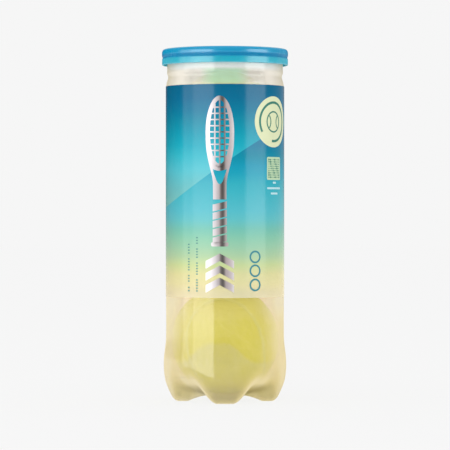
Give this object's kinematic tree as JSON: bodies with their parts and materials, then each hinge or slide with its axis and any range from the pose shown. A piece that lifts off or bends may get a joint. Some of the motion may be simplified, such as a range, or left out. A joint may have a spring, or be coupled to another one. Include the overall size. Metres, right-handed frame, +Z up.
{
  "type": "tennis ball can",
  "caption": "Clear canister on moulded feet with a wrap label, ring-pull metal end and push-on overcap, holding a stack of felt-covered balls.",
  "frame": {"origin": "on the can's axis, at the level its feet stand on", "axes": "+Z up along the can's axis to the overcap; -Y is the front, with one foot and the middle of the label's art; the ring pull's nose points to +X"},
  "size_m": [0.0782, 0.0782, 0.2175],
  "materials": {
    "pet_clear": "clear blow-moulded PET",
    "label_film": "satin printed film, blue at the top fading to cream at the bottom",
    "aluminium_end": "satin rolled sheet with a clear lacquer",
    "aluminium_tab": "bright stamped sheet",
    "seam_compound": "matt cured compound",
    "cap_plastic": "translucent moulded polyethylene, semi-gloss",
    "core_rubber": "matt moulded rubber",
    "felt_yellow": "napped wool and nylon felt",
    "seam_cement": "matt vulcanised seam"
  },
  "bodies": {
    "can": {"can_body": "pet_clear", "label_sleeve": "label_film", "end_ring": "aluminium_end", "sealing_compound": "seam_compound"},
    "ball_1": {"ball_1_core_half_a": "core_rubber", "ball_1_core_half_b": "core_rubber", "ball_1_felt_a": "felt_yellow", "ball_1_felt_b": "felt_yellow", "ball_1_seam": "seam_cement"},
    "ball_2": {"ball_2_core_half_a": "core_rubber", "ball_2_core_half_b": "core_rubber", "ball_2_felt_a": "felt_yellow", "ball_2_felt_b": "felt_yellow", "ball_2_seam": "seam_cement"},
    "ball_3": {"ball_3_core_half_a": "core_rubber", "ball_3_core_half_b": "core_rubber", "ball_3_felt_a": "felt_yellow", "ball_3_felt_b": "felt_yellow", "ball_3_seam": "seam_cement"},
    "cap": {"overcap": "cap_plastic"},
    "opened_end": {"tear_panel": "aluminium_end", "tab_rivet_tongue": "aluminium_tab"},
    "ring_pull": {"pull_tab": "aluminium_tab"}
  },
  "joints": [
    {"name": "ball_1_lift", "type": "slide", "parent": "can", "child": "ball_1", "axis": [0, 0, 1], "range_m": [0, 0.215]},
    {"name": "ball_2_lift", "type": "slide", "parent": "ball_1", "child": "ball_2", "axis": [0, 0, 1], "range_m": [0, 0.15]},
    {"name": "ball_3_lift", "type": "slide", "parent": "ball_2", "child": "ball_3", "axis": [0, 0, 1], "range_m": [0, 0.085]},
    {"name": "cap_lift", "type": "slide", "parent": "ball_3", "child": "cap", "axis": [0, 0, 1], "range_m": [0, 0.15]},
    {"name": "panel_peel", "type": "hinge", "parent": "ball_3", "child": "opened_end", "pos_m": [-0.034, 0, 0.216], "axis": [0, -1, 0], "range_deg": [0, 80]},
    {"name": "tab_lift", "type": "hinge", "parent": "opened_end", "child": "ring_pull", "pos_m": [0.0313, 0, 0.2118], "axis": [0, 1, 0], "range_deg": [0, 90]}
  ],
  "couplings": [
    {"joint": "panel_peel", "follows": "cap_lift", "rad_per_m": 9.3},
    {"joint": "tab_lift", "follows": "cap_lift", "rad_per_m": 10.4}
  ]
}
